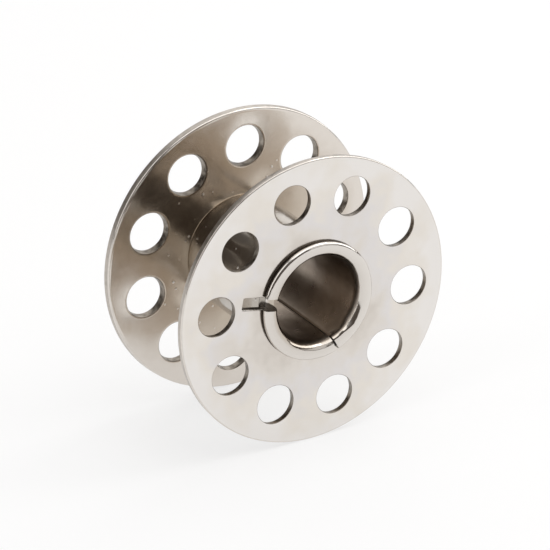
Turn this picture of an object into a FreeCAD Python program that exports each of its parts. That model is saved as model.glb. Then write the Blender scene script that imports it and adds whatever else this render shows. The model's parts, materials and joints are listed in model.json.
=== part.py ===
import FreeCAD, Part
import math
import os

import Sketcher

# Metal sewing machine bobbin: two stamped flanges on a rolled core tube whose ends are flared over them.
# The spin axis is Y, the flange that faces -Y is the front one, and the origin is the middle of the bore.
# Angles about the axis run from +X towards +Z, as seen from the front. Lengths are millimetres.

SIZES = [
    # name, value, meaning
    ("flange_diameter", 20.5, "outside of each flange"),
    ("flange_thickness", 0.5, "sheet that the flanges are stamped from"),
    ("winding_width", 9.1, "clear width between the flanges, for the thread"),
    ("rim_break", 0.1, "broken outer edge of a flange"),
    ("hole_count", 10, "round holes in each flange"),
    ("hole_diameter", 2.95, "one round hole"),
    ("hole_circle_diameter", 15.1, "circle that the hole centres lie on"),
    ("hole_break", 0.06, "broken outer edge of a round hole"),
    ("bore_diameter", 6.15, "bore that runs on the spindle"),
    ("core_thickness", 0.45, "sheet that the core tube is rolled from"),
    ("flare_bend", 0.12, "inside of the bend from tube to flare, and the flange's broken edge under it"),
    ("crest_width", 0.38, "flat ring on the flare's crest, which the bobbin rests on in its case"),
    ("flare_break", 0.2, "broken outer edge of the flare"),
    ("flare_relief", 0.12, "broken lower edge of the flare, which leaves a fine gap on the flange"),
    ("sleeve_thickness", 0.45, "sheet that the spacer sleeve is rolled from"),
    ("fit_clearance", 0.03, "play between the core tube and what sits round it"),
    ("slot_width", 0.85, "drive slot across the flare and the flange"),
    ("slot_web", 0.475, "metal between the slot's outer end and the ring of holes"),
    ("slot_to_hole_angle", 6.2, "from the slot to the next hole, in degrees"),
    ("front_slot_angle", 168.5, "direction of the front slot, in degrees"),
    ("rear_slot_angle", 344.1, "direction of the rear slot, in degrees"),
    ("seam_gap", 0.08, "butt seam of a rolled tube"),
    ("seam_mouth", 0.3, "width to which the seam opens past the flare's edge"),
    ("core_seam_angle", 293.0, "direction of the core tube's seam, in degrees"),
    ("sleeve_seam_angle", 250.0, "direction of the sleeve's seam, in degrees"),
]

# Expressions that several pieces share
RIM_RADIUS = "Sizes.flange_diameter / 2"
HOLE_RADIUS = "Sizes.hole_diameter / 2"
BORE_RADIUS = "Sizes.bore_diameter / 2"
CORE_RADIUS = f"({BORE_RADIUS} + Sizes.core_thickness)"
SEAT_RADIUS = f"({CORE_RADIUS} + Sizes.fit_clearance)"
SLEEVE_RADIUS = f"({SEAT_RADIUS} + Sizes.sleeve_thickness)"
MOUTH_ROUND = "(Sizes.core_thickness + Sizes.flare_bend)"
FLARE_RADIUS = f"({BORE_RADIUS} + {MOUTH_ROUND} + Sizes.crest_width + Sizes.flare_break)"
SLOT_REACH = "(Sizes.hole_circle_diameter - Sizes.hole_diameter) / 2 - Sizes.slot_web"
INNER_FACE = "Sizes.winding_width / 2"
OUTER_FACE = f"({INNER_FACE} + Sizes.flange_thickness)"
CREST = f"({OUTER_FACE} + Sizes.core_thickness)"
CUT_PAST_FLARE = f"{FLARE_RADIUS} + Sizes.core_thickness"
CUT_PAST_SLEEVE = f"{SLEEVE_RADIUS} + Sizes.sleeve_thickness"

# The numbers that a sketch gives to its own axes and to the points of a curve
X_AXIS, Y_AXIS = range(-1, -3, -1)
START, END, CENTRE = range(1, 4)
SAME_PLACE = 1e-6

doc = FreeCAD.newDocument("bobbin")
sheet = doc.addObject("Spreadsheet::Sheet", "Sizes")


def fill_sheet():
    for row, (name, value, meaning) in enumerate(SIZES, start=1):
        sheet.set(f"A{row}", meaning)
        sheet.set(f"B{row}", str(value))
        sheet.setAlias(f"B{row}", name)
    doc.recompute()


def number(expression):
    result = sheet.evalExpression(expression)
    return float(getattr(result, "Value", result))


def origin_feature(body, role):
    return next(feature for feature in body.Origin.OriginFeatures if feature.Role == role)


def new_sketch(body, name, plane="XZ_Plane", height=None, turn=None):
    """Sketch on an origin plane of the body, moved along its normal and turned about it."""
    sketch = body.newObject("Sketcher::SketchObject", name)
    sketch.AttachmentSupport = [(origin_feature(body, plane), "")]
    sketch.MapMode = "FlatFace"
    if height:
        sketch.setExpression("AttachmentOffset.Base.z", height)
    if turn:
        sketch.setExpression("AttachmentOffset.Rotation.Angle", turn)
    return sketch


def fix(sketch, kind, *places):
    return sketch.addConstraint(Sketcher.Constraint(kind, *places))


def bind(sketch, name, size, kind, *places):
    """Adds a dimension to the sketch and ties it to the sheet."""
    index = fix(sketch, kind, *places, number(size))
    sketch.renameConstraint(index, name)
    sketch.setExpression(f"Constraints.{name}", size)


def draw_circle(sketch, name, radius, distance=None):
    """Circle on the sketch's X axis, or on its origin when no distance is given."""
    middle = FreeCAD.Vector(number(distance) if distance else 0, 0, 0)
    edge = sketch.addGeometry(Part.Circle(middle, FreeCAD.Vector(0, 0, 1), number(radius)))
    if distance:
        fix(sketch, "PointOnObject", edge, CENTRE, X_AXIS)
        bind(sketch, f"{name}_distance", distance, "DistanceX", X_AXIS, START, edge, CENTRE)
    else:
        fix(sketch, "Coincident", edge, CENTRE, X_AXIS, START)
    bind(sketch, f"{name}_radius", radius, "Radius", edge)


def draw_chain(sketch, corners, arcs=None):
    """Closed chain of sides through the corners; arcs holds the sides that curve into their neighbours."""
    arcs = arcs or {}
    points = [FreeCAD.Vector(x, y, 0) for x, y in corners]
    sides = []
    for index, start in enumerate(points):
        end = points[(index + 1) % len(points)]
        sides.append(sketch.addGeometry(arcs.get(index) or Part.LineSegment(start, end)))
    for index, side in enumerate(sides):
        after = (index + 1) % len(sides)
        kind = "Tangent" if index in arcs or after in arcs else "Coincident"
        fix(sketch, kind, side, END, sides[after], START)
    return sides


def draw_slit(sketch, reach, width):
    """Rectangle from the sketch's Y axis along its X axis."""
    far, half = number(reach), number(width) / 2
    low, side, high, root = draw_chain(sketch, [(0, -half), (far, -half), (far, half), (0, half)])
    fix(sketch, "Horizontal", low)
    fix(sketch, "Horizontal", high)
    fix(sketch, "PointOnObject", root, START, Y_AXIS)
    fix(sketch, "PointOnObject", root, END, Y_AXIS)
    fix(sketch, "Symmetric", side, START, side, END, X_AXIS)
    bind(sketch, "reach", reach, "DistanceX", X_AXIS, START, side, START)
    bind(sketch, "width", width, "DistanceY", side, START, side, END)


def draw_wedge(sketch, start, reach, width):
    """Triangle along the sketch's X axis that opens outwards."""
    near, far, half = number(start), number(reach), number(width) / 2
    flank, base, _ = draw_chain(sketch, [(near, 0), (far, -half), (far, half)])
    fix(sketch, "PointOnObject", flank, START, X_AXIS)
    fix(sketch, "Symmetric", base, START, base, END, X_AXIS)
    bind(sketch, "start", start, "DistanceX", X_AXIS, START, flank, START)
    bind(sketch, "reach", reach, "DistanceX", X_AXIS, START, base, START)
    bind(sketch, "width", width, "DistanceY", base, START, base, END)


def draw_core_section(sketch):
    """Half of the core tube's wall, from the middle of the bore to the flare on the front flange."""
    bore, core, flare = number(BORE_RADIUS), number(CORE_RADIUS), number(FLARE_RADIUS)
    crest, face, mouth = -number(CREST), -number(OUTER_FACE), number(MOUTH_ROUND)
    edge, relief, bend = (number(f"Sizes.{name}") for name in ("flare_break", "flare_relief", "flare_bend"))
    corners = [
        (bore, 0),
        (bore, crest + mouth),
        (bore + mouth, crest),
        (flare - edge, crest),
        (flare, crest + edge),
        (flare, face - relief),
        (flare - relief, face),
        (core + bend, face),
        (core, face + bend),
        (core, 0),
    ]
    mouth_centre = FreeCAD.Vector(bore + mouth, crest + mouth, 0)
    mouth_circle = Part.Circle(mouth_centre, FreeCAD.Vector(0, 0, 1), mouth)
    sides = draw_chain(sketch, corners, {1: Part.ArcOfCircle(mouth_circle, math.pi, 1.5 * math.pi)})
    wall, mouth_arc, top, edge_cut, free_edge, relief_cut, under, bend_cut, outside, _ = sides

    fix(sketch, "PointOnObject", wall, START, X_AXIS)
    fix(sketch, "PointOnObject", outside, END, X_AXIS)
    for upright in (wall, free_edge, outside):
        fix(sketch, "Vertical", upright)
    for flat in (top, under):
        fix(sketch, "Horizontal", flat)
    bind(sketch, "bore", BORE_RADIUS, "DistanceX", X_AXIS, START, wall, START)
    bind(sketch, "core", CORE_RADIUS, "DistanceX", X_AXIS, START, outside, END)
    bind(sketch, "crest", CREST, "DistanceY", top, START, X_AXIS, START)
    bind(sketch, "face", OUTER_FACE, "DistanceY", under, START, X_AXIS, START)
    bind(sketch, "mouth", MOUTH_ROUND, "Radius", mouth_arc)
    bind(sketch, "crest_width", "Sizes.crest_width", "DistanceX", top, START, top, END)
    for name, slope, left, right in (
        ("flare_break", edge_cut, START, END),
        ("flare_relief", relief_cut, END, START),
        ("flare_bend", bend_cut, END, START),
    ):
        bind(sketch, f"{name}_across", f"Sizes.{name}", "DistanceX", slope, left, slope, right)
        bind(sketch, f"{name}_along", f"Sizes.{name}", "DistanceY", slope, START, slope, END)


def cut(body, sketch, name, depth=None, reverse=False):
    """Pocket of a given depth, or through the whole body both ways; stops if it removes nothing."""
    before = body.Shape.Volume
    pocket = body.newObject("PartDesign::Pocket", name)
    pocket.Profile = sketch
    pocket.Reversed = reverse
    if depth:
        pocket.setExpression("Length", depth)
    else:
        pocket.Type = "ThroughAll"
        pocket.SideType = "Symmetric"
    doc.recompute()
    if body.Shape.Volume >= before:
        raise RuntimeError(f"{name} cuts nothing from {body.Label}")
    return pocket


def break_edges(body, name, feature, radius, height, size):
    """Chamfer of the circular edges of one radius that lie at one height along the axis."""
    doc.recompute()
    names = []
    for index, edge in enumerate(feature.Shape.Edges, start=1):
        if edge.Curve.TypeId != "Part::GeomCircle":
            continue
        off_height = abs(edge.Curve.Center.y - number(height))
        off_radius = abs(edge.Curve.Radius - number(radius))
        if max(off_height, off_radius) < SAME_PLACE:
            names.append(f"Edge{index}")
    chamfer = body.newObject("PartDesign::Chamfer", name)
    chamfer.Base = (feature, names)
    chamfer.setExpression("Size", size)
    doc.recompute()
    return chamfer


def stamped_flange(label, side, slot_angle):
    """Round flange with a ring of holes and a drive slot; side is -1 for the front one and 1 for the rear."""
    body = doc.addObject("PartDesign::Body", label)
    outline = new_sketch(body, f"{label}_outline")
    draw_circle(outline, "rim", RIM_RADIUS)
    draw_circle(outline, "seat", SEAT_RADIUS)
    disc = body.newObject("PartDesign::Pad", f"{label}_disc")
    disc.Profile = outline
    disc.setExpression("Length", "Sizes.flange_thickness")
    disc.Reversed = side > 0
    doc.recompute()

    one_hole = new_sketch(body, f"{label}_hole_outline", turn=f"{-side} * Sizes.slot_to_hole_angle")
    draw_circle(one_hole, "hole", HOLE_RADIUS, "Sizes.hole_circle_diameter / 2")
    hole = cut(body, one_hole, f"{label}_hole")
    ring = body.newObject("PartDesign::PolarPattern", f"{label}_hole_ring")
    ring.Originals = [hole]
    ring.Axis = (origin_feature(body, "Y_Axis"), [""])
    ring.Angle = 360
    ring.setExpression("Occurrences", "Sizes.hole_count")
    body.Tip = ring

    face = f"{side} * Sizes.flange_thickness"
    broken = break_edges(body, f"{label}_rim_break", ring, RIM_RADIUS, face, "Sizes.rim_break")
    broken = break_edges(body, f"{label}_seat_break", broken, SEAT_RADIUS, face, "Sizes.flare_bend")
    break_edges(body, f"{label}_hole_break", broken, HOLE_RADIUS, face, "Sizes.hole_break")

    slot = new_sketch(body, f"{label}_slot_outline")
    draw_slit(slot, SLOT_REACH, "Sizes.slot_width")
    cut(body, slot, f"{label}_slot")

    body.Placement.Rotation = FreeCAD.Rotation(FreeCAD.Vector(0, -1, 0), 1)
    body.setExpression("Placement.Rotation.Angle", slot_angle)
    body.setExpression("Placement.Base.y", f"{side} * {INNER_FACE}")
    return body


def core_tube():
    """Tube rolled from strip, with a butt seam, whose flared ends clamp the flanges against the sleeve."""
    body = doc.addObject("PartDesign::Body", "core_tube")
    section = new_sketch(body, "core_section", "XY_Plane")
    draw_core_section(section)
    half = body.newObject("PartDesign::Revolution", "core_half")
    half.Profile = section
    half.ReferenceAxis = (section, ["V_Axis"])
    half.Angle = 360
    doc.recompute()
    whole = body.newObject("PartDesign::Mirrored", "core_whole")
    whole.Originals = [half]
    whole.MirrorPlane = (origin_feature(body, "XZ_Plane"), [""])
    body.Tip = whole
    doc.recompute()

    seam = new_sketch(body, "core_seam_outline", turn="Sizes.core_seam_angle")
    draw_slit(seam, CUT_PAST_FLARE, "Sizes.seam_gap")
    cut(body, seam, "core_seam")
    for end, side in (("front", -1), ("rear", 1)):
        crest = f"{-side} * {CREST}"
        mouth = new_sketch(body, f"{end}_seam_mouth_outline", height=crest, turn="Sizes.core_seam_angle")
        draw_wedge(mouth, BORE_RADIUS, CUT_PAST_FLARE, "Sizes.seam_mouth")
        cut(body, mouth, f"{end}_seam_mouth", "Sizes.core_thickness", side > 0)
        slot = new_sketch(body, f"{end}_slot_outline", height=crest, turn=f"Sizes.{end}_slot_angle")
        draw_slit(slot, SLOT_REACH, "Sizes.slot_width")
        cut(body, slot, f"{end}_slot", "Sizes.core_thickness + Sizes.flange_thickness", side > 0)
    return body


def spacer_sleeve():
    """Rolled sleeve round the core tube, which holds the flanges apart and carries the thread."""
    body = doc.addObject("PartDesign::Body", "spacer_sleeve")
    ring = new_sketch(body, "sleeve_ring")
    draw_circle(ring, "outside", SLEEVE_RADIUS)
    draw_circle(ring, "seat", SEAT_RADIUS)
    wall = body.newObject("PartDesign::Pad", "sleeve_wall")
    wall.Profile = ring
    wall.SideType = "Symmetric"
    wall.setExpression("Length", "Sizes.winding_width")
    doc.recompute()
    seam = new_sketch(body, "sleeve_seam_outline", turn="Sizes.sleeve_seam_angle")
    draw_slit(seam, CUT_PAST_SLEEVE, "Sizes.seam_gap")
    cut(body, seam, "sleeve_seam")
    return body


def check_and_write(bodies):
    doc.recompute()
    for item in doc.Objects:
        if "Invalid" in item.State or "Error" in item.State:
            raise RuntimeError(f"{item.Label} failed: {item.State}")
    for body in bodies:
        if body.Shape.isNull() or not body.Shape.isValid() or len(body.Shape.Solids) != 1:
            raise RuntimeError(f"{body.Label} isn't one sound solid")
    os.makedirs("parts", exist_ok=True)
    for body in bodies:
        body.Shape.exportStep(f"parts/{body.Label}.step")
        box = body.Shape.BoundBox
        print(f"{body.Label}: {body.Shape.Volume:.3f} mm3, {box.YLength:.3f} mm along the axis")


fill_sheet()
check_and_write([
    stamped_flange("front_flange", -1, "Sizes.front_slot_angle"),
    stamped_flange("rear_flange", 1, "Sizes.rear_slot_angle"),
    core_tube(),
    spacer_sleeve(),
])
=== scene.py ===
import json
import math

import bmesh
import bpy
from mathutils import Matrix, Vector


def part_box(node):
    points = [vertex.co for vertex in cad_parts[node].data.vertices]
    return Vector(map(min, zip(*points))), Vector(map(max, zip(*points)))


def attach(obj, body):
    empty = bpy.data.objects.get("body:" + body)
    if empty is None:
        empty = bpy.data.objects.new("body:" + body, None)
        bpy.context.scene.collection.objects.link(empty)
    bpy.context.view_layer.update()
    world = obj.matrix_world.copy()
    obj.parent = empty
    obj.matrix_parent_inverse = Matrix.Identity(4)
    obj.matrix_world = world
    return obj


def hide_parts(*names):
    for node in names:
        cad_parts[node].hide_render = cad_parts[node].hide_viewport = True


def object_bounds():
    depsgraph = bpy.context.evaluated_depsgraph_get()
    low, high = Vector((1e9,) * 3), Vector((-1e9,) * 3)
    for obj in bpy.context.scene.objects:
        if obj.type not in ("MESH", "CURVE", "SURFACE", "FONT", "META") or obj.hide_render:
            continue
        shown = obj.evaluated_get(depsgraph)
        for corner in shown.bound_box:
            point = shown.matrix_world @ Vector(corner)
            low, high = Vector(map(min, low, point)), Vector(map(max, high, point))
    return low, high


# Empty nickel plated bobbin, standing on its two rims. Shapes are drawn in millimetres and stored in metres.
# The spin axis is Y, and angles about it run from +X towards +Z, as seen from the front.

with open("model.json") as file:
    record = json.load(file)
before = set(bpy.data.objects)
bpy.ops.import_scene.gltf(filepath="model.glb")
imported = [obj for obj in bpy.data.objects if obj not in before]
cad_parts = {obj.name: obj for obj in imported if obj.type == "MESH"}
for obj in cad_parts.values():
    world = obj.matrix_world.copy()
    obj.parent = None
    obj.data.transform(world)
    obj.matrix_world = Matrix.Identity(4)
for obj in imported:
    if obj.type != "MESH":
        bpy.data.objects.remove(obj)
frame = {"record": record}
cadLow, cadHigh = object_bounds()
mm = 0.001
tiny = 1e-6  # slack for comparing sizes and angles

flangeLow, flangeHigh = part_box("front_flange")
rimRadius = flangeHigh.x / mm
outerFace = -flangeLow.y / mm  # from the middle of the bore to a flange's outer face
innerFace = -flangeHigh.y / mm
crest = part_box("core_tube")[1].y / mm
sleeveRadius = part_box("spacer_sleeve")[1].x / mm
boreMount = next(mount for mount in frame["record"]["mounts"] if mount["name"] == "bore")
boreRadius = boreMount["dims"]["r_mm"]
print(f"frame: rim {rimRadius:.3f}, bore {boreRadius:.3f}, crest {crest:.3f} mm")


def linearColour(hexValue):
    channels = [int(hexValue[i:i + 2], 16) / 255 for i in (1, 3, 5)]
    linear = [c / 12.92 if c <= 0.04045 else ((c + 0.055) / 1.055) ** 2.4 for c in channels]  # sRGB curve
    return (*linear, 1.0)


def addNode(tree, kind, settings=None, links=None):
    # a whole number stands for an input's place, where inputs share a name
    node = tree.nodes.new(kind)
    for name, value in (settings or {}).items():
        if isinstance(name, int) or name in node.inputs:
            node.inputs[name].default_value = value
        else:
            setattr(node, name, value)
    for name, source in (links or {}).items():
        tree.links.new(source, node.inputs[name])
    return node


def perMetre(sizeMm):
    return 1 / (sizeMm * mm)  # texture scale for a pattern of this size


noiseSpan = {"From Min": 0.3, "From Max": 0.7}  # where nearly all of a noise texture's values lie
nodule = {
    "colour": "#EFECE8", "dullness": 0.4,
    "top": 0.3,  # share of a nodule's radius that is at full height
    "fadeStart": 0.75, "fadeEnd": 1.25,  # shares of the reach between which nodules die out
}


def nickelPlate(name, finish):
    # tints are (radius, colour), from the axis outwards; all sizes are in millimetres
    material = bpy.data.materials.new(name)
    material.use_nodes = True
    tree = material.node_tree
    shader = tree.nodes["Principled BSDF"]
    shader.inputs["Metallic"].default_value = 1.0
    place = addNode(tree, "ShaderNodeTexCoord").outputs["Object"]

    # the tint runs with the radius, blurred by cloudy patches; near the axis its darkening is tarnish in and
    # around the bore, and painted shade around the hub on the flange faces and the sleeve
    cloud = addNode(tree, "ShaderNodeTexNoise", {
        "Scale": perMetre(finish["cloudSize"]), "Detail": 3.0, "Roughness": 0.6,
    }, {"Vector": place})
    shift = finish["cloudShift"] * mm
    drift = addNode(tree, "ShaderNodeMapRange", {
        **noiseSpan, "To Min": -shift, "To Max": shift,
    }, {"Value": cloud.outputs["Fac"]})
    across = addNode(tree, "ShaderNodeVectorMath", {"operation": "MULTIPLY", 1: (1, 0, 1)}, {0: place})
    length = addNode(tree, "ShaderNodeVectorMath", {"operation": "LENGTH"}, {0: across.outputs[0]})
    radius = length.outputs["Value"]
    reach = addNode(tree, "ShaderNodeMath", {"operation": "ADD"}, {0: radius, 1: drift.outputs["Result"]})
    first, last = finish["tints"][0][0] * mm, finish["tints"][-1][0] * mm
    share = addNode(tree, "ShaderNodeMapRange", {
        "From Min": first, "From Max": last,
    }, {"Value": reach.outputs[0]})
    tint = addNode(tree, "ShaderNodeValToRGB", None, {"Fac": share.outputs["Result"]})
    stops = tint.color_ramp.elements
    given = len(stops)  # stops that a new ramp already has
    for i, (stop, stopColour) in enumerate(finish["tints"]):
        position = (stop * mm - first) / (last - first)
        element = stops[i] if i < given else stops.new(position)
        element.position = position
        element.color = linearColour(stopColour)
    colour = tint.outputs["Color"]

    # nodules in the plate near the hub: sparse small bumps that catch the light
    bump = None
    if "speckSpacing" in finish:
        spotRadius = finish["speckSize"] / 2 / finish["speckSpacing"]
        hubReach = finish["speckReach"] * mm
        cells = addNode(tree, "ShaderNodeTexVoronoi", {
            "Scale": perMetre(finish["speckSpacing"]),
        }, {"Vector": place})
        spot = addNode(tree, "ShaderNodeMapRange", {
            "From Min": spotRadius, "From Max": spotRadius * nodule["top"],
        }, {"Value": cells.outputs["Distance"]})
        close = addNode(tree, "ShaderNodeMapRange", {
            "From Min": hubReach * nodule["fadeEnd"], "From Max": hubReach * nodule["fadeStart"],
        }, {"Value": radius})
        bump = addNode(tree, "ShaderNodeMath", {"operation": "MULTIPLY"}, {
            0: spot.outputs["Result"], 1: close.outputs["Result"],
        }).outputs[0]
        mix = addNode(tree, "ShaderNodeMix", {
            "data_type": "RGBA", 7: linearColour(nodule["colour"]),
        }, {0: bump, 6: colour})
        colour = mix.outputs[2]
    tree.links.new(colour, shader.inputs["Base Color"])

    # polishing marks, really under 0.05 mm, are drawn coarser so that they show as a haze in the gloss
    haze = addNode(tree, "ShaderNodeTexNoise", {
        "Scale": perMetre(finish["hazeSize"]), "Detail": 4.0,
    }, {"Vector": place})
    roughness = addNode(tree, "ShaderNodeMapRange", {
        **noiseSpan, "To Min": finish["smooth"], "To Max": finish["rough"],
    }, {"Value": haze.outputs["Fac"]}).outputs["Result"]
    if bump:
        roughness = addNode(tree, "ShaderNodeMath", {
            "operation": "MULTIPLY_ADD", 1: nodule["dullness"],
        }, {0: bump, 2: roughness}).outputs[0]
    tree.links.new(roughness, shader.inputs["Roughness"])

    # slow waves left in the sheet by rolling and pressing bend the reflections
    wave = addNode(tree, "ShaderNodeTexNoise", {
        "Scale": perMetre(finish["waveSize"]), "Detail": 1.0,
    }, {"Vector": place})
    normal = addNode(tree, "ShaderNodeBump", {
        "Strength": 1.0, "Distance": finish["waveDepth"] * mm,
    }, {"Height": wave.outputs["Fac"]}).outputs["Normal"]
    if bump:
        normal = addNode(tree, "ShaderNodeBump", {
            "Strength": 1.0, "Distance": finish["speckHeight"] * mm,
        }, {"Height": bump, "Normal": normal}).outputs["Normal"]
    tree.links.new(normal, shader.inputs["Normal"])
    return material


# bright nickel on stamped steel sheet: a soft mirror, cloudy between warm and cool where the plate varies
# its tint darkens a little towards the hub: painted shade around the flare
flangePlate = nickelPlate("nickelPlatedStampedSteel", {
    "tints": [(3.5, "#D0C9C1"), (5.0, "#DAD4CD"), (6.5, "#DCD8D6"), (8.0, "#E2DCD4"), (10.0, "#E6E2DE")],
    "cloudSize": 4.0, "cloudShift": 2.2,
    "smooth": 0.12, "rough": 0.2, "hazeSize": 1.2, "waveSize": 5.0, "waveDepth": 0.02,
})
# nickel on the inner faces: a mirror, darker than the outer faces and browner towards the hub as painted
# shade between the flanges, with nodules as pale dots
innerPlate = nickelPlate("thinNickelOnInnerFace", {
    "tints": [(4.0, "#BEB2A3"), (6.5, "#C6BBAE"), (9.5, "#DDD6CE")],
    "cloudSize": 3.0, "cloudShift": 0.8,
    "smooth": 0.12, "rough": 0.21, "hazeSize": 1.0, "waveSize": 4.0, "waveDepth": 0.02,
    "speckSpacing": 0.8, "speckSize": 0.24, "speckHeight": 0.02, "speckReach": 6.5,
})
# nickel over the edge that the blanking tool rolled: smooth, so it draws a narrow bright line
rolledRim = nickelPlate("nickelPlatedRolledRim", {
    "tints": [(9.0, "#C9C2BA"), (10.3, "#DBD5CE")],
    "cloudSize": 0.5, "cloudShift": 0.4,
    "smooth": 0.14, "rough": 0.24, "hazeSize": 0.3, "waveSize": 0.6, "waveDepth": 0.01,
})
# nickel over sheared steel: satin, so the wall of the rim is a soft grey band with faint mottling
shearedRim = nickelPlate("nickelPlatedShearedRim", {
    "tints": [(9.0, "#9F978E"), (10.3, "#BFB8B0")],
    "cloudSize": 0.4, "cloudShift": 0.6,
    "smooth": 0.3, "rough": 0.45, "hazeSize": 0.3, "waveSize": 0.5, "waveDepth": 0.012,
})
# torn steel that the nickel hardly covers: dark, mottled satin in the holes, slots and seam
punchedEdge = nickelPlate("nickelPlatedPunchedEdge", {
    "tints": [(3.0, "#4C453D"), (10.0, "#9C948A")],
    "cloudSize": 0.4, "cloudShift": 4.0,
    "smooth": 0.28, "rough": 0.42, "hazeSize": 0.2, "waveSize": 0.3, "waveDepth": 0.01,
})
# nickel polished by the flaring tool: the sharpest mirror of all, with slight waves
corePlate = nickelPlate("nickelPlatedFlaredSteel", {
    "tints": [(3.2, "#BDB3A7"), (3.45, "#D2CCC5"), (4.3, "#DDD8D2")],
    "cloudSize": 1.5, "cloudShift": 0.05,
    "smooth": 0.08, "rough": 0.16, "hazeSize": 0.6, "waveSize": 0.7, "waveDepth": 0.025,
})
# plate hardly reaches into the bore and tarnishes there: dim brown satin
boreWall = nickelPlate("tarnishedThinNickelBore", {
    "tints": [(3.0, "#82756A"), (3.15, "#A19588"), (3.35, "#C0B6AB")],
    "cloudSize": 1.5, "cloudShift": 0.06,
    "smooth": 0.26, "rough": 0.36, "hazeSize": 0.8, "waveSize": 1.5, "waveDepth": 0.012,
})
# cut edge of the strip, tucked under the flare: a nearly black line, which is painted shade of the gap
# between the flare and the flange
cutEndGapShade = nickelPlate("oilDarkenedCutEnd", {
    "tints": [(3.6, "#3E3832"), (4.3, "#575049")],
    "cloudSize": 0.3, "cloudShift": 0.15,
    "smooth": 0.35, "rough": 0.5, "hazeSize": 0.2, "waveSize": 0.2, "waveDepth": 0.008,
})
# nickel on smooth rolled strip: a grey mirror with a few nodules, darker than the flanges as painted shade
# between them, and darker still on its rounded ends against the flanges
sleevePlate = nickelPlate("nickelPlatedRolledSteel", {
    "tints": [(3.9, "#A9A299"), (4.1, "#BFB9B1")],
    "cloudSize": 2.0, "cloudShift": 0.06,
    "smooth": 0.12, "rough": 0.2, "hazeSize": 0.6, "waveSize": 3.0, "waveDepth": 0.008,
    "speckSpacing": 0.8, "speckSize": 0.22, "speckHeight": 0.02, "speckReach": 6.5,
})
print("materials: nickel plate in nine finishes")


def at(radius, angle, y):
    return Vector((radius * math.cos(angle), y, radius * math.sin(angle))) * mm


sharpAngle = math.radians(40)  # edges that turn more than this stay crisp


def finishPiece(name, bm, materials, node):
    bmesh.ops.recalc_face_normals(bm, faces=bm.faces)
    for face in bm.faces:
        face.smooth = True
    mesh = bpy.data.meshes.new(name)
    bm.to_mesh(mesh)
    bm.free()
    mesh.set_sharp_from_angle(angle=sharpAngle)
    for material in materials:
        mesh.materials.append(material)
    piece = bpy.data.objects.new(name, mesh)
    bpy.context.scene.collection.objects.link(piece)
    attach(piece, "root")
    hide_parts(node)
    print(f"{name}: {len(mesh.polygons)} faces")
    return piece


# Stamped flanges: their edges roll in on the side that faces the front,
# and the holes narrow towards the outer faces. Side -1 is the front flange and side 1 the rear one.
flange = {
    "holeRadius": 1.39,  # at the narrow end
    "holeCount": 10, "holeCircle": 7.55, "slotToHole": 6.2,
    "seatRadius": 3.555, "slotHalf": 0.425, "slotReach": 5.6, "slotCorner": 0.1,
    "slotAngle": {-1: 168.5, 1: 344.1},
    # (width, depth) of the drawn-in face and of the tight roll, and how far the wall leans
    "hole": {"draw": (0.12, 0.015), "roll": (0.04, 0.05), "taper": 0.08},
    "rim": {"draw": (0.12, 0.01), "roll": (0.1, 0.1), "taper": 0.04},
    "slot": {"draw": (0.08, 0.02), "roll": (0.04, 0.04), "taper": 0.0},
    "burr": 0.03, "support": 0.04,  # support is a strip of flat face that keeps the shading even
    "rollSteps": 6, "burrSteps": 3, "sideSteps": 6, "cornerSteps": 6,
    "rimPoints": 288, "holePoints": 72, "seatPoints": 96,
}
flangeFinishes = [flangePlate, punchedEdge, innerPlate, rolledRim, shearedRim]
outerFinish, tornFinish, innerFinish, rolledFinish, shearedFinish = range(len(flangeFinishes))


def punchedProfile(edge, narrowFront):
    # (into the metal, below the front face): drawn-in face, tight roll, tapered wall, small burr
    (drawWidth, drawDepth), (rollWidth, rollDepth) = edge["draw"], edge["roll"]
    steps, burr, burrSteps = flange["rollSteps"], flange["burr"], flange["burrSteps"]
    thickness = outerFace - innerFace
    points = [(rollWidth + drawWidth + flange["support"], 0)]
    for i in range(steps):
        share = i / steps
        points.append((rollWidth + drawWidth * (1 - share), drawDepth * share * share))
    for i in range(steps + 1):
        turn = math.pi / 2 * i / steps
        points.append((rollWidth * (1 - math.sin(turn)), drawDepth + rollDepth * (1 - math.cos(turn))))
    for i in range(burrSteps + 1):
        turn = math.pi / 2 * i / burrSteps
        points.append((burr * (1 - math.cos(turn)), thickness - burr * (1 - math.sin(turn))))
    points.append((burr + flange["support"], thickness))
    lean = [depth / thickness if narrowFront else 1 - depth / thickness for into, depth in points]
    return [(into + edge["taper"] * share, depth) for (into, depth), share in zip(points, lean)]


# A loop is a list of (x, z, direction into the metal in x and in z)
def circleLoop(x, z, radius, count, into):
    loop = []
    for i in range(count):
        turn = 2 * math.pi * i / count
        c, s = math.cos(turn), math.sin(turn)
        loop.append((x + radius * c, z + radius * s, into * c, into * s))
    return loop


def keyholeLoop():
    # the hub's seat with the drive slot, which points along +X
    seat, half, reach, corner = (flange[key] for key in ("seatRadius", "slotHalf", "slotReach", "slotCorner"))
    seatPoints, sideSteps, cornerSteps = (flange[key] for key in ("seatPoints", "sideSteps", "cornerSteps"))
    start = math.asin(half / seat)
    loop = []
    for i in range(seatPoints + 1):
        turn = start + (2 * math.pi - 2 * start) * i / seatPoints
        loop.append((seat * math.cos(turn), seat * math.sin(turn), math.cos(turn), math.sin(turn)))
    sides = [seat + (reach - corner - seat) * i / (sideSteps + 1) for i in range(1, sideSteps + 1)]
    loop += [(x, -half, 0, -1) for x in sides]
    for centreZ, first in ((corner - half, -math.pi / 2), (half - corner, 0)):
        for i in range(cornerSteps + 1):
            turn = first + math.pi / 2 * i / cornerSteps
            c, s = math.cos(turn), math.sin(turn)
            loop.append((reach - corner + corner * c, centreZ + corner * s, c, s))
    loop += [(x, half, 0, 1) for x in reversed(sides)]
    return loop


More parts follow.
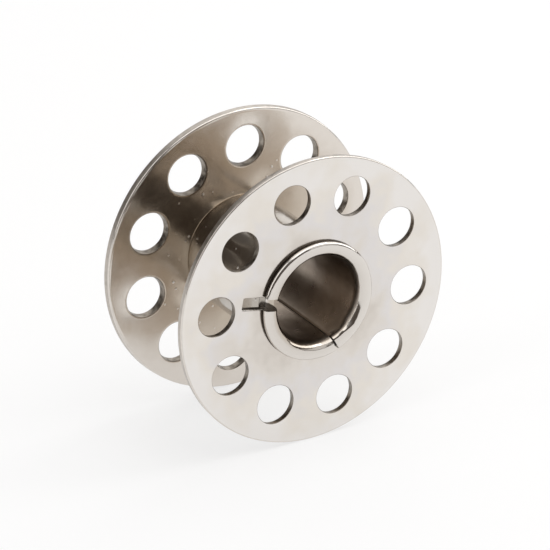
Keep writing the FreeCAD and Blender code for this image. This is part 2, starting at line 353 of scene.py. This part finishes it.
def sweepEdge(bm, loop, profile, front, turn, finishes):
    # finishes: face slots of the drawn-in face, the roll and the wall
    drawn, rolled, wall = finishes
    c, s = math.cos(turn), math.sin(turn)
    rings = []
    for into, depth in profile:
        ring = []
        for x, z, nx, nz in loop:
            px, pz = x + nx * into, z + nz * into
            ring.append(bm.verts.new(Vector((px * c - pz * s, front + depth, px * s + pz * c)) * mm))
        rings.append(ring)
    steps = flange["rollSteps"]
    for step, (upper, lower) in enumerate(zip(rings, rings[1:])):
        finish = drawn if step <= steps else rolled if step <= 2 * steps else wall
        for i in range(len(loop)):
            bm.faces.new((upper[i - 1], upper[i], lower[i], lower[i - 1])).material_index = finish
    return rings[0], rings[-1]


def fillFlat(bm, rings, side, finish):
    edges = []
    for ring in rings:
        edges += [bm.edges.get((ring[i - 1], ring[i])) for i in range(len(ring))]
    made = bmesh.ops.triangle_fill(bm, use_beauty=True, edges=edges, normal=(0, side, 0))["geom"]
    for face in (item for item in made if isinstance(item, bmesh.types.BMFace)):
        face.material_index = finish


def stampedFlange(name, node, side):
    bm = bmesh.new()
    turn = math.radians(flange["slotAngle"][side])
    atFront = side < 0
    front = -outerFace if atFront else innerFace
    near, far = (outerFinish, innerFinish) if atFront else (innerFinish, outerFinish)
    rim = circleLoop(0, 0, rimRadius, flange["rimPoints"], -1)
    edges = [
        (rim, punchedProfile(flange["rim"], atFront), (near, rolledFinish, shearedFinish)),
        (keyholeLoop(), punchedProfile(flange["slot"], False), (near, near, tornFinish)),
    ]
    for i in range(flange["holeCount"]):
        angle = math.radians(-side * flange["slotToHole"] + 360 * i / flange["holeCount"])
        x, z = flange["holeCircle"] * math.cos(angle), flange["holeCircle"] * math.sin(angle)
        hole = circleLoop(x, z, flange["holeRadius"], flange["holePoints"], 1)
        edges.append((hole, punchedProfile(flange["hole"], atFront), (near, tornFinish, tornFinish)))
    nearRings, farRings = [], []
    for loop, profile, finishes in edges:
        first, last = sweepEdge(bm, loop, profile, front, turn, finishes)
        nearRings.append(first)
        farRings.append(last)
    fillFlat(bm, nearRings, -1, near)
    fillFlat(bm, farRings, 1, far)
    return finishPiece(name, bm, flangeFinishes, node)


stampedFlange("frontFlange", "front_flange", -1)
stampedFlange("rearFlange", "rear_flange", 1)


# Core tube: rolled strip with a butt seam, its ends flared over the flanges. Angles are in degrees.
core = {
    "thickness": 0.45, "bend": 0.12, "flareRadius": 4.225, "edgeRound": 0.24,
    "relief": 0.14, "mouthDepth": 0.9,
    "flareShift": 0.19, "mouthShift": 0.28, "shiftAngle": 15.0,  # the flaring tool went in off-centre
    "seamAngle": 293.0, "seamHalf": 0.025, "seamMouthHalf": 0.13,
    "cornerWidth": 2.5, "cornerDepth": 0.035,  # the strip's corners at the seam are rounded
    "flatWidth": 24.0, "flatDepth": 0.09,  # and its ends stay flatter than the rest of the tube
    "pressEnd": 30.0, "pressFade": 14.0, "pressShare": 0.45,  # lip pressed flatter on one side of the seam
    "columns": 240, "leastColumns": 6, "cornerColumns": 5, "slotBlend": 25.0,
    "wallSteps": 8, "arcSteps": 12, "dullSteps": 7, "reliefSteps": 4,
}
coreFinishes = [corePlate, boreWall, punchedEdge, cutEndGapShade]
crestFinish, boreFinish, cutFinish, gapShadeFinish = range(len(coreFinishes))


def arcPoints(centre, radius, first, last, steps):
    points = []
    for i in range(steps + 1):
        turn = math.radians(first + (last - first) * i / steps)
        points.append((centre[0] + radius * math.cos(turn), centre[1] + radius * math.sin(turn)))
    return points


def coreProfile(press, lean, dip):
    # (radius, distance from the middle, finish) of half the wall, from the bore over the flare to the outside
    # press flattens the lip, lean is the share of the off-centre shifts, dip widens the bore beside the seam
    bend, edge, relief, steps = (core[key] for key in ("bend", "edgeRound", "relief", "arcSteps"))
    outside = boreRadius + core["thickness"]
    flare = core["flareRadius"] + core["flareShift"] * lean
    shift = core["mouthShift"] * lean
    kept = 1 - core["pressShare"] * press
    wide, deep = (core["thickness"] + bend) * kept, core["mouthDepth"] * kept
    rows = [i / core["wallSteps"] for i in range(core["wallSteps"] + 1)]
    points = [(boreRadius + dip + shift * row ** 2, innerFace * row, boreFinish) for row in rows]
    for i, (x, y) in enumerate(arcPoints((0, 0), 1, 180, 90, steps)):
        start = boreRadius + shift + (dip if i == 0 else 0)
        finish = boreFinish if i < core["dullSteps"] else crestFinish
        points.append((start + wide * (1 + x), crest - deep * (1 - y), finish))
    points += [(r, y, crestFinish) for r, y in arcPoints((flare - edge, crest - edge), edge, 90, 0, steps)]
    # the flare's underside, against the flange, is drawn in the painted shade of the gap
    under = arcPoints((flare - relief, outerFace + relief), relief, 0, -90, core["reliefSteps"])
    under += arcPoints((outside + bend, outerFace - bend), bend, 90, 180, core["reliefSteps"])
    points += [(r, y, gapShadeFinish) for r, y in under]
    points += [(outside, innerFace * row, crestFinish) for row in reversed(rows)]
    return points


def wrapDegrees(angle):
    return (angle + 180) % 360 - 180


def slotHalfAngle(radius):
    return math.degrees(math.asin(flange["slotHalf"] / radius))


def coreColumns():
    # angles from the seam round to the seam again, with a column on each side of each slot
    half = slotHalfAngle(core["flareRadius"])
    marks = [0.0]
    for slotAngle in flange["slotAngle"].values():
        middle = (slotAngle - core["seamAngle"]) % 360
        marks += [middle - half, middle + half]
    marks = sorted(marks) + [360.0]
    columns = []
    for start, end in zip(marks, marks[1:]):
        steps = max(core["leastColumns"], round(core["columns"] * (end - start) / 360))
        columns += [start + (end - start) * i / steps for i in range(steps)]
    width, count = core["cornerWidth"], core["cornerColumns"]
    near = [width * i / count for i in range(1, count + 1)]
    columns = [column for column in columns if column == 0 or width < column < 360 - width]
    return sorted(columns + near + [360 - column for column in near] + [360.0])


def columnAngle(column, radius, height):
    # the slots and the seam have straight sides, so a column leans a little with the radius
    angle = column + core["seamAngle"]
    blend = core["slotBlend"]
    nominal, true = slotHalfAngle(core["flareRadius"]), slotHalfAngle(radius)
    for slotAngle in flange["slotAngle"].values():
        away = wrapDegrees(angle - slotAngle)
        if abs(away) <= nominal + tiny:
            return angle + away * (true / nominal - 1)
        if abs(away) < blend:
            share = (blend - abs(away)) / (blend - nominal)
            return angle + math.copysign((true - nominal) * share, away)
    gap = core["seamHalf"]
    if abs(height) > outerFace:
        gap += (core["seamMouthHalf"] - gap) * (radius - boreRadius) / (core["flareRadius"] - boreRadius)
    fromSeam = min(column, 360 - column)
    if fromSeam < blend:
        share = 1 - fromSeam / blend
        angle += math.copysign(math.degrees(gap / radius) * share, 180 - column)
    return angle


def buildCore():
    bm = bmesh.new()
    columns = coreColumns()
    grid = []
    for column in columns:
        fromSeam = min(column, 360 - column)
        dip = core["cornerDepth"] * max(0, 1 - fromSeam / core["cornerWidth"]) ** 2
        dip += core["flatDepth"] * max(0, 1 - fromSeam / core["flatWidth"]) ** 2
        press = min(1, max(0, (core["pressEnd"] - column) / core["pressFade"]))
        lean = math.cos(math.radians(column + core["seamAngle"] - core["shiftAngle"]))
        half = coreProfile(press, lean, dip)
        profile = [(r, -y, finish) for r, y, finish in half] + half[-2:0:-1]
        ring = []
        for r, y, finish in profile:
            ring.append(bm.verts.new(at(r, math.radians(columnAngle(column, r, y)), y)))
        grid.append(ring)
    count = len(profile)
    heights = [y for r, y, finish in profile]
    finishes = [finish for r, y, finish in profile]

    def inSlot(column, side):
        away = wrapDegrees(column + core["seamAngle"] - flange["slotAngle"][side])
        return abs(away) < slotHalfAngle(core["flareRadius"])

    def cutAway(j, side):
        return side * heights[j] >= innerFace - tiny

    for i in range(len(columns) - 1):
        middle = (columns[i] + columns[i + 1]) / 2
        for j in range(count):
            after = (j + 1) % count
            side = -1 if heights[j] + heights[after] < 0 else 1
            if inSlot(middle, side) and cutAway(j, side) and cutAway(after, side):
                continue
            face = bm.faces.new((grid[i][j], grid[i + 1][j], grid[i + 1][after], grid[i][after]))
            pair = (finishes[j], finishes[after])
            # a face that touches the flare's underside takes its painted shade
            face.material_index = gapShadeFinish if gapShadeFinish in pair else min(pair)
        for side in (-1, 1):
            if not inSlot(middle, side):
                continue
            # floor of the slot, and its two walls where the next column is whole again
            one, other = [j for j in range(count) if abs(side * heights[j] - innerFace) < tiny]
            bm.faces.new((grid[i][one], grid[i + 1][one], grid[i + 1][other], grid[i][other]))
            for edgeColumn, beyond in ((i, i - 1), (i + 1, i + 1)):
                if not inSlot((columns[beyond] + columns[beyond + 1]) / 2, side):
                    wall = bm.faces.new([grid[edgeColumn][j] for j in range(count) if cutAway(j, side)])
                    wall.material_index = cutFinish
    for ring in (grid[0], grid[-1]):
        bm.faces.new(ring).material_index = cutFinish  # the strip's ends, which face each other in the seam
    bmesh.ops.triangulate(bm, faces=[face for face in bm.faces if len(face.verts) > 4])
    return finishPiece("coreTube", bm, coreFinishes, "core_tube")


buildCore()


# Spacer sleeve between the flanges: strip rolled round the core, with its seam out of sight
sleeve = {
    "inner": 3.555, "seamAngle": 250.0, "seamHalf": 0.04, "edgeRound": 0.12,
    "columns": 192, "rows": 12, "edgeSteps": 4,
}


def buildSleeve():
    bm = bmesh.new()
    edge, edgeSteps, rows = sleeve["edgeRound"], sleeve["edgeSteps"], sleeve["rows"]
    profile = [(sleeve["inner"], innerFace), (sleeve["inner"], -innerFace), (sleeveRadius - edge, -innerFace)]
    profile += arcPoints((sleeveRadius - edge, -innerFace + edge), edge, -90, 0, edgeSteps)[1:]
    profile += [(sleeveRadius, (innerFace - edge) * (2 * i / rows - 1)) for i in range(1, rows)]
    profile += arcPoints((sleeveRadius - edge, innerFace - edge), edge, 0, 90, edgeSteps)
    grid = []
    for i in range(sleeve["columns"] + 1):
        ring = []
        for r, y in profile:
            gap = math.asin(sleeve["seamHalf"] / r)
            turn = math.radians(sleeve["seamAngle"]) + gap + (2 * math.pi - 2 * gap) * i / sleeve["columns"]
            ring.append(bm.verts.new(at(r, turn, y)))
        grid.append(ring)
    for ring, beyond in zip(grid, grid[1:]):
        for j in range(len(profile)):
            bm.faces.new((ring[j - 1], ring[j], beyond[j], beyond[j - 1]))
    bm.faces.new(grid[0])
    bm.faces.new(grid[-1])
    bmesh.ops.triangulate(bm, faces=[face for face in bm.faces if len(face.verts) > 4])
    return finishPiece("spacerSleeve", bm, [sleevePlate], "spacer_sleeve")


buildSleeve()


# White table, dim room, soft boxes and the photograph's camera. A place is (azimuth, elevation) in degrees,
# with azimuth from the front (0) to the right (90); distances and sizes here are in metres.
studio = {
    "floorSize": 2.0, "floorColour": "#FAFAFA", "ownWhite": 0.7,
    "sky": [(0.4, "#59524C"), (0.95, "#8A8886")],  # (height on the unit sphere, colour)
}
softBoxes = {
    "overheadSoftBox": {"place": (30.0, 73.0), "distance": 0.32, "size": (0.34, 0.28), "radiance": 1.45},
    "backSoftBox": {"place": (160.0, 47.0), "distance": 0.4, "size": (0.38, 0.23), "radiance": 1.0},
    "backRightSoftBox": {"place": (140.0, 19.0), "distance": 0.4, "size": (0.26, 0.18), "radiance": 1.2},
    "leftSoftBox": {"place": (-92.0, 34.0), "distance": 0.38, "size": (0.3, 0.42), "radiance": 1.2},
    "rightSoftBox": {"place": (88.0, 34.0), "distance": 0.38, "size": (0.32, 0.42), "radiance": 2.0},
    "frontRightSoftBox": {"place": (35.0, 25.0), "distance": 0.4, "size": (0.2, 0.3), "radiance": 0.65},
}
photoCamera = {
    "place": (-31.695, 25.445), "distance": 0.3285,
    "lens": 319.8, "sensor": 36.0, "shift": (0.00224, -0.00341), "clipStart": 0.01,
}


def towards(place):
    azimuth, elevation = (math.radians(angle) for angle in place)
    level = math.cos(elevation)
    return Vector((math.sin(azimuth) * level, -math.cos(azimuth) * level, math.sin(elevation)))


def buildFloor():
    mesh = bpy.data.meshes.new("whiteTable")
    half, z = studio["floorSize"] / 2, cadLow.z
    corners = [(-half, -half, z), (half, -half, z), (half, half, z), (-half, half, z)]
    mesh.from_pydata(corners, [], [(0, 1, 2, 3)])
    table = bpy.data.objects.new("whiteTable", mesh)
    bpy.context.scene.collection.objects.link(table)
    # matt white board: no gloss at all, so it shows nothing but the soft shadow
    material = bpy.data.materials.new("whiteMattBoard")
    material.use_nodes = True
    tree = material.node_tree
    shader = tree.nodes["Principled BSDF"]
    shader.inputs["Base Color"].default_value = linearColour(studio["floorColour"])
    shader.inputs["Roughness"].default_value = 1.0
    shader.inputs["Specular IOR Level"].default_value = 0.0
    # seen directly, mirrored or through a hole, the board is partly its own white, which keeps a pale shadow
    rays = addNode(tree, "ShaderNodeLightPath").outputs
    seen = rays["Is Camera Ray"]
    for kind in ("Is Glossy Ray", "Is Transmission Ray"):
        seen = addNode(tree, "ShaderNodeMath", {"operation": "MAXIMUM"}, {0: seen, 1: rays[kind]}).outputs[0]
    share = addNode(tree, "ShaderNodeMath", {"operation": "MULTIPLY", 1: studio["ownWhite"]}, {0: seen})
    white = addNode(tree, "ShaderNodeEmission", {"Color": (1, 1, 1, 1), "Strength": 1.0})
    board = addNode(tree, "ShaderNodeMixShader", None, {
        0: share.outputs[0], 1: shader.outputs[0], 2: white.outputs[0],
    })
    tree.links.new(board.outputs[0], tree.nodes["Material Output"].inputs["Surface"])
    mesh.materials.append(material)


def buildWorld():
    # a dim room, a little paler towards its ceiling
    world = bpy.data.worlds.new("dimRoom")
    bpy.context.scene.world = world
    world.use_nodes = True
    tree = world.node_tree
    direction = addNode(tree, "ShaderNodeTexCoord").outputs["Generated"]
    parts = addNode(tree, "ShaderNodeSeparateXYZ", None, {"Vector": direction})
    sky = addNode(tree, "ShaderNodeValToRGB", None, {"Fac": parts.outputs["Z"]})
    for element, (height, colour) in zip(sky.color_ramp.elements, studio["sky"]):
        element.position = height
        element.color = linearColour(colour)
    tree.links.new(sky.outputs["Color"], tree.nodes["Background"].inputs["Color"])


def buildSoftBox(name, box):
    direction = towards(box["place"])
    lamp = bpy.data.lights.new(name, "AREA")
    lamp.shape = "RECTANGLE"
    lamp.size, lamp.size_y = box["size"]
    lamp.energy = math.pi * box["radiance"] * lamp.size * lamp.size_y  # power of a matt panel
    holder = bpy.data.objects.new(name, lamp)
    holder.location = direction * box["distance"]
    holder.rotation_euler = direction.to_track_quat("Z", "Y").to_euler()
    bpy.context.scene.collection.objects.link(holder)


def buildCamera():
    data = bpy.data.cameras.new("photoCamera")
    data.lens = photoCamera["lens"]
    data.sensor_width = photoCamera["sensor"]
    data.shift_x, data.shift_y = photoCamera["shift"]
    data.clip_start = photoCamera["clipStart"]
    camera = bpy.data.objects.new("photoCamera", data)
    back = towards(photoCamera["place"])
    right = Vector((0, 0, 1)).cross(back).normalized()
    turn = Matrix((right, back.cross(right), back)).transposed()
    camera.matrix_world = Matrix.Translation(back * photoCamera["distance"]) @ turn.to_4x4()
    bpy.context.scene.collection.objects.link(camera)
    bpy.context.scene.camera = camera


buildFloor()
buildWorld()
for boxName, box in softBoxes.items():
    buildSoftBox(boxName, box)
buildCamera()
bpy.context.scene.view_settings.view_transform = "Standard"
print(f"studio: white table, {len(softBoxes)} soft boxes and camera")
